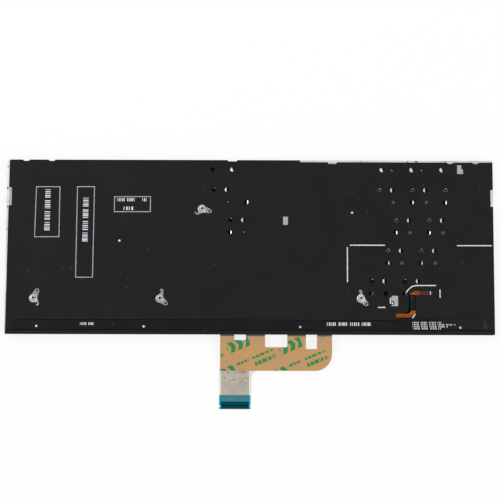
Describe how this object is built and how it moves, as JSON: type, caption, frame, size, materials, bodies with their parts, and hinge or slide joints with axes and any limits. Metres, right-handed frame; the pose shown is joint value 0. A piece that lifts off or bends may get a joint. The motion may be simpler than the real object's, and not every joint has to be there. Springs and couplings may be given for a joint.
{
  "type": "laptop replacement keyboard",
  "caption": "Thin laptop keyboard lying on its key tops: black film over a stamped plate on the back, screw bosses, flat ribbon tail, and scissor keys that press.",
  "frame": {"origin": "on the surface it lies on, under the middle of the box of module and tail", "axes": "+X towards the keyboard's own left end (seen from the back), +Y towards the function row, +Z from the key tops to the back"},
  "size_m": [0.28, 0.1428, 0.0066],
  "materials": {
    "stamped_plate": "bare rolled sheet, satin",
    "membrane_film": "printed polyester film, satin",
    "clear_sheet": "milky clear sheet",
    "black_film": "black polyester film, fine matt",
    "black_tape": "black tape, satin",
    "polyimide": "amber film over copper, satin",
    "plated_steel": "nickel plated, turned",
    "dome_rubber": "milky silicone, matt",
    "frame_plastic": "moulded natural plastic, satin",
    "stiffener_blue": "blue polyester backing, satin",
    "kraft_liner": "golden release paper, satin",
    "key_plastic": "black moulded plastic, fine matt",
    "wire_steel": "drawn steel wire"
  },
  "bodies": {
    "root": {"base_plate": "stamped_plate", "membrane_circuit": "membrane_film", "light_guide": "clear_sheet", "back_film": "black_film", "bottom_tape": "black_tape", "backlight_flex": "polyimide", "screw_bosses": "plated_steel", "rubber_domes": "dome_rubber", "scissor_outer_frames": "frame_plastic", "scissor_inner_frames": "frame_plastic", "tail_stiffener": "stiffener_blue", "tail_liner": "kraft_liner", "function_row_keys": "key_plastic", "symbol_keys": "key_plastic", "modifier_keys": "key_plastic", "arrow_keys": "key_plastic"},
    "key_q": {"key_q": "key_plastic"},
    "key_w": {"key_w": "key_plastic"},
    "key_e": {"key_e": "key_plastic"},
    "key_r": {"key_r": "key_plastic"},
    "key_t": {"key_t": "key_plastic"},
    "key_y": {"key_y": "key_plastic"},
    "key_u": {"key_u": "key_plastic"},
    "key_i": {"key_i": "key_plastic"},
    "key_o": {"key_o": "key_plastic"},
    "key_p": {"key_p": "key_plastic"},
    "key_a": {"key_a": "key_plastic"},
    "key_s": {"key_s": "key_plastic"},
    "key_d": {"key_d": "key_plastic"},
    "key_f": {"key_f": "key_plastic"},
    "key_g": {"key_g": "key_plastic"},
    "key_h": {"key_h": "key_plastic"},
    "key_j": {"key_j": "key_plastic"},
    "key_k": {"key_k": "key_plastic"},
    "key_l": {"key_l": "key_plastic"},
    "key_z": {"key_z": "key_plastic"},
    "key_x": {"key_x": "key_plastic"},
    "key_c": {"key_c": "key_plastic"},
    "key_v": {"key_v": "key_plastic"},
    "key_b": {"key_b": "key_plastic"},
    "key_n": {"key_n": "key_plastic"},
    "key_m": {"key_m": "key_plastic"},
    "key_1": {"key_1": "key_plastic"},
    "key_2": {"key_2": "key_plastic"},
    "key_3": {"key_3": "key_plastic"},
    "key_4": {"key_4": "key_plastic"},
    "key_5": {"key_5": "key_plastic"},
    "key_6": {"key_6": "key_plastic"},
    "key_7": {"key_7": "key_plastic"},
    "key_8": {"key_8": "key_plastic"},
    "key_9": {"key_9": "key_plastic"},
    "key_0": {"key_0": "key_plastic"},
    "key_backspace": {"key_backspace": "key_plastic"},
    "key_tab": {"key_tab": "key_plastic"},
    "key_caps_lock": {"key_caps_lock": "key_plastic"},
    "key_enter": {"key_enter": "key_plastic"},
    "key_shift_left": {"key_shift_left": "key_plastic"},
    "key_shift_right": {"key_shift_right": "key_plastic"},
    "key_space": {"key_space": "key_plastic"},
    "space_bar_wire": {"space_bar_wire": "wire_steel"}
  },
  "joints": [
    {"name": "press_q", "type": "slide", "parent": "root", "child": "key_q", "axis": [0, 0, 1], "range_m": [0, 0.00125], "stiffness_N_per_m": 400, "springref_m": -0.0008, "deforming": ["rubber_domes", "scissor_outer_frames", "scissor_inner_frames"]},
    {"name": "press_w", "type": "slide", "parent": "root", "child": "key_w", "axis": [0, 0, 1], "range_m": [0, 0.00125], "stiffness_N_per_m": 400, "springref_m": -0.0008, "deforming": ["rubber_domes", "scissor_outer_frames", "scissor_inner_frames"]},
    {"name": "press_e", "type": "slide", "parent": "root", "child": "key_e", "axis": [0, 0, 1], "range_m": [0, 0.00125], "stiffness_N_per_m": 400, "springref_m": -0.0008, "deforming": ["rubber_domes", "scissor_outer_frames", "scissor_inner_frames"]},
    {"name": "press_r", "type": "slide", "parent": "root", "child": "key_r", "axis": [0, 0, 1], "range_m": [0, 0.00125], "stiffness_N_per_m": 400, "springref_m": -0.0008, "deforming": ["rubber_domes", "scissor_outer_frames", "scissor_inner_frames"]},
    {"name": "press_t", "type": "slide", "parent": "root", "child": "key_t", "axis": [0, 0, 1], "range_m": [0, 0.00125], "stiffness_N_per_m": 400, "springref_m": -0.0008, "deforming": ["rubber_domes", "scissor_outer_frames", "scissor_inner_frames"]},
    {"name": "press_y", "type": "slide", "parent": "root", "child": "key_y", "axis": [0, 0, 1], "range_m": [0, 0.00125], "stiffness_N_per_m": 400, "springref_m": -0.0008, "deforming": ["rubber_domes", "scissor_outer_frames", "scissor_inner_frames"]},
    {"name": "press_u", "type": "slide", "parent": "root", "child": "key_u", "axis": [0, 0, 1], "range_m": [0, 0.00125], "stiffness_N_per_m": 400, "springref_m": -0.0008, "deforming": ["rubber_domes", "scissor_outer_frames", "scissor_inner_frames"]},
    {"name": "press_i", "type": "slide", "parent": "root", "child": "key_i", "axis": [0, 0, 1], "range_m": [0, 0.00125], "stiffness_N_per_m": 400, "springref_m": -0.0008, "deforming": ["rubber_domes", "scissor_outer_frames", "scissor_inner_frames"]},
    {"name": "press_o", "type": "slide", "parent": "root", "child": "key_o", "axis": [0, 0, 1], "range_m": [0, 0.00125], "stiffness_N_per_m": 400, "springref_m": -0.0008, "deforming": ["rubber_domes", "scissor_outer_frames", "scissor_inner_frames"]},
    {"name": "press_p", "type": "slide", "parent": "root", "child": "key_p", "axis": [0, 0, 1], "range_m": [0, 0.00125], "stiffness_N_per_m": 400, "springref_m": -0.0008, "deforming": ["rubber_domes", "scissor_outer_frames", "scissor_inner_frames"]},
    {"name": "press_a", "type": "slide", "parent": "root", "child": "key_a", "axis": [0, 0, 1], "range_m": [0, 0.00125], "stiffness_N_per_m": 400, "springref_m": -0.0008, "deforming": ["rubber_domes", "scissor_outer_frames", "scissor_inner_frames"]},
    {"name": "press_s", "type": "slide", "parent": "root", "child": "key_s", "axis": [0, 0, 1], "range_m": [0, 0.00125], "stiffness_N_per_m": 400, "springref_m": -0.0008, "deforming": ["rubber_domes", "scissor_outer_frames", "scissor_inner_frames"]},
    {"name": "press_d", "type": "slide", "parent": "root", "child": "key_d", "axis": [0, 0, 1], "range_m": [0, 0.00125], "stiffness_N_per_m": 400, "springref_m": -0.0008, "deforming": ["rubber_domes", "scissor_outer_frames", "scissor_inner_frames"]},
    {"name": "press_f", "type": "slide", "parent": "root", "child": "key_f", "axis": [0, 0, 1], "range_m": [0, 0.00125], "stiffness_N_per_m": 400, "springref_m": -0.0008, "deforming": ["rubber_domes", "scissor_outer_frames", "scissor_inner_frames"]},
    {"name": "press_g", "type": "slide", "parent": "root", "child": "key_g", "axis": [0, 0, 1], "range_m": [0, 0.00125], "stiffness_N_per_m": 400, "springref_m": -0.0008, "deforming": ["rubber_domes", "scissor_outer_frames", "scissor_inner_frames"]},
    {"name": "press_h", "type": "slide", "parent": "root", "child": "key_h", "axis": [0, 0, 1], "range_m": [0, 0.00125], "stiffness_N_per_m": 400, "springref_m": -0.0008, "deforming": ["rubber_domes", "scissor_outer_frames", "scissor_inner_frames"]},
    {"name": "press_j", "type": "slide", "parent": "root", "child": "key_j", "axis": [0, 0, 1], "range_m": [0, 0.00125], "stiffness_N_per_m": 400, "springref_m": -0.0008, "deforming": ["rubber_domes", "scissor_outer_frames", "scissor_inner_frames"]},
    {"name": "press_k", "type": "slide", "parent": "root", "child": "key_k", "axis": [0, 0, 1], "range_m": [0, 0.00125], "stiffness_N_per_m": 400, "springref_m": -0.0008, "deforming": ["rubber_domes", "scissor_outer_frames", "scissor_inner_frames"]},
    {"name": "press_l", "type": "slide", "parent": "root", "child": "key_l", "axis": [0, 0, 1], "range_m": [0, 0.00125], "stiffness_N_per_m": 400, "springref_m": -0.0008, "deforming": ["rubber_domes", "scissor_outer_frames", "scissor_inner_frames"]},
    {"name": "press_z", "type": "slide", "parent": "root", "child": "key_z", "axis": [0, 0, 1], "range_m": [0, 0.00125], "stiffness_N_per_m": 400, "springref_m": -0.0008, "deforming": ["rubber_domes", "scissor_outer_frames", "scissor_inner_frames"]},
    {"name": "press_x", "type": "slide", "parent": "root", "child": "key_x", "axis": [0, 0, 1], "range_m": [0, 0.00125], "stiffness_N_per_m": 400, "springref_m": -0.0008, "deforming": ["rubber_domes", "scissor_outer_frames", "scissor_inner_frames"]},
    {"name": "press_c", "type": "slide", "parent": "root", "child": "key_c", "axis": [0, 0, 1], "range_m": [0, 0.00125], "stiffness_N_per_m": 400, "springref_m": -0.0008, "deforming": ["rubber_domes", "scissor_outer_frames", "scissor_inner_frames"]},
    {"name": "press_v", "type": "slide", "parent": "root", "child": "key_v", "axis": [0, 0, 1], "range_m": [0, 0.00125], "stiffness_N_per_m": 400, "springref_m": -0.0008, "deforming": ["rubber_domes", "scissor_outer_frames", "scissor_inner_frames"]},
    {"name": "press_b", "type": "slide", "parent": "root", "child": "key_b", "axis": [0, 0, 1], "range_m": [0, 0.00125], "stiffness_N_per_m": 400, "springref_m": -0.0008, "deforming": ["rubber_domes", "scissor_outer_frames", "scissor_inner_frames"]},
    {"name": "press_n", "type": "slide", "parent": "root", "child": "key_n", "axis": [0, 0, 1], "range_m": [0, 0.00125], "stiffness_N_per_m": 400, "springref_m": -0.0008, "deforming": ["rubber_domes", "scissor_outer_frames", "scissor_inner_frames"]},
    {"name": "press_m", "type": "slide", "parent": "root", "child": "key_m", "axis": [0, 0, 1], "range_m": [0, 0.00125], "stiffness_N_per_m": 400, "springref_m": -0.0008, "deforming": ["rubber_domes", "scissor_outer_frames", "scissor_inner_frames"]},
    {"name": "press_1", "type": "slide", "parent": "root", "child": "key_1", "axis": [0, 0, 1], "range_m": [0, 0.00125], "stiffness_N_per_m": 400, "springref_m": -0.0008, "deforming": ["rubber_domes", "scissor_outer_frames", "scissor_inner_frames"]},
    {"name": "press_2", "type": "slide", "parent": "root", "child": "key_2", "axis": [0, 0, 1], "range_m": [0, 0.00125], "stiffness_N_per_m": 400, "springref_m": -0.0008, "deforming": ["rubber_domes", "scissor_outer_frames", "scissor_inner_frames"]},
    {"name": "press_3", "type": "slide", "parent": "root", "child": "key_3", "axis": [0, 0, 1], "range_m": [0, 0.00125], "stiffness_N_per_m": 400, "springref_m": -0.0008, "deforming": ["rubber_domes", "scissor_outer_frames", "scissor_inner_frames"]},
    {"name": "press_4", "type": "slide", "parent": "root", "child": "key_4", "axis": [0, 0, 1], "range_m": [0, 0.00125], "stiffness_N_per_m": 400, "springref_m": -0.0008, "deforming": ["rubber_domes", "scissor_outer_frames", "scissor_inner_frames"]},
    {"name": "press_5", "type": "slide", "parent": "root", "child": "key_5", "axis": [0, 0, 1], "range_m": [0, 0.00125], "stiffness_N_per_m": 400, "springref_m": -0.0008, "deforming": ["rubber_domes", "scissor_outer_frames", "scissor_inner_frames"]},
    {"name": "press_6", "type": "slide", "parent": "root", "child": "key_6", "axis": [0, 0, 1], "range_m": [0, 0.00125], "stiffness_N_per_m": 400, "springref_m": -0.0008, "deforming": ["rubber_domes", "scissor_outer_frames", "scissor_inner_frames"]},
    {"name": "press_7", "type": "slide", "parent": "root", "child": "key_7", "axis": [0, 0, 1], "range_m": [0, 0.00125], "stiffness_N_per_m": 400, "springref_m": -0.0008, "deforming": ["rubber_domes", "scissor_outer_frames", "scissor_inner_frames"]},
    {"name": "press_8", "type": "slide", "parent": "root", "child": "key_8", "axis": [0, 0, 1], "range_m": [0, 0.00125], "stiffness_N_per_m": 400, "springref_m": -0.0008, "deforming": ["rubber_domes", "scissor_outer_frames", "scissor_inner_frames"]},
    {"name": "press_9", "type": "slide", "parent": "root", "child": "key_9", "axis": [0, 0, 1], "range_m": [0, 0.00125], "stiffness_N_per_m": 400, "springref_m": -0.0008, "deforming": ["rubber_domes", "scissor_outer_frames", "scissor_inner_frames"]},
    {"name": "press_0", "type": "slide", "parent": "root", "child": "key_0", "axis": [0, 0, 1], "range_m": [0, 0.00125], "stiffness_N_per_m": 400, "springref_m": -0.0008, "deforming": ["rubber_domes", "scissor_outer_frames", "scissor_inner_frames"]},
    {"name": "press_backspace", "type": "slide", "parent": "root", "child": "key_backspace", "axis": [0, 0, 1], "range_m": [0, 0.00125], "stiffness_N_per_m": 400, "springref_m": -0.0008, "deforming": ["rubber_domes", "scissor_outer_frames", "scissor_inner_frames"]},
    {"name": "press_tab", "type": "slide", "parent": "root", "child": "key_tab", "axis": [0, 0, 1], "range_m": [0, 0.00125], "stiffness_N_per_m": 400, "springref_m": -0.0008, "deforming": ["rubber_domes", "scissor_outer_frames", "scissor_inner_frames"]},
    {"name": "press_caps_lock", "type": "slide", "parent": "root", "child": "key_caps_lock", "axis": [0, 0, 1], "range_m": [0, 0.00125], "stiffness_N_per_m": 400, "springref_m": -0.0008, "deforming": ["rubber_domes", "scissor_outer_frames", "scissor_inner_frames"]},
    {"name": "press_enter", "type": "slide", "parent": "root", "child": "key_enter", "axis": [0, 0, 1], "range_m": [0, 0.00125], "stiffness_N_per_m": 400, "springref_m": -0.0008, "deforming": ["rubber_domes", "scissor_outer_frames", "scissor_inner_frames"]},
    {"name": "press_shift_left", "type": "slide", "parent": "root", "child": "key_shift_left", "axis": [0, 0, 1], "range_m": [0, 0.00125], "stiffness_N_per_m": 400, "springref_m": -0.0008, "deforming": ["rubber_domes", "scissor_outer_frames", "scissor_inner_frames"]},
    {"name": "press_shift_right", "type": "slide", "parent": "root", "child": "key_shift_right", "axis": [0, 0, 1], "range_m": [0, 0.00125], "stiffness_N_per_m": 400, "springref_m": -0.0008, "deforming": ["rubber_domes", "scissor_outer_frames", "scissor_inner_frames"]},
    {"name": "press_space", "type": "slide", "parent": "root", "child": "key_space", "axis": [0, 0, 1], "range_m": [0, 0.00125], "stiffness_N_per_m": 400, "springref_m": -0.0008, "deforming": ["rubber_domes", "scissor_outer_frames", "scissor_inner_frames"]},
    {"name": "space_wire_pivot", "type": "hinge", "parent": "root", "child": "space_bar_wire", "pos_m": [0.011, -0.02075, 0.00295], "axis": [1, 0, 0], "range_deg": [0, 10.4]}
  ],
  "couplings": [
    {"joint": "space_wire_pivot", "follows": "press_space", "rad_per_m": 144.5}
  ]
}
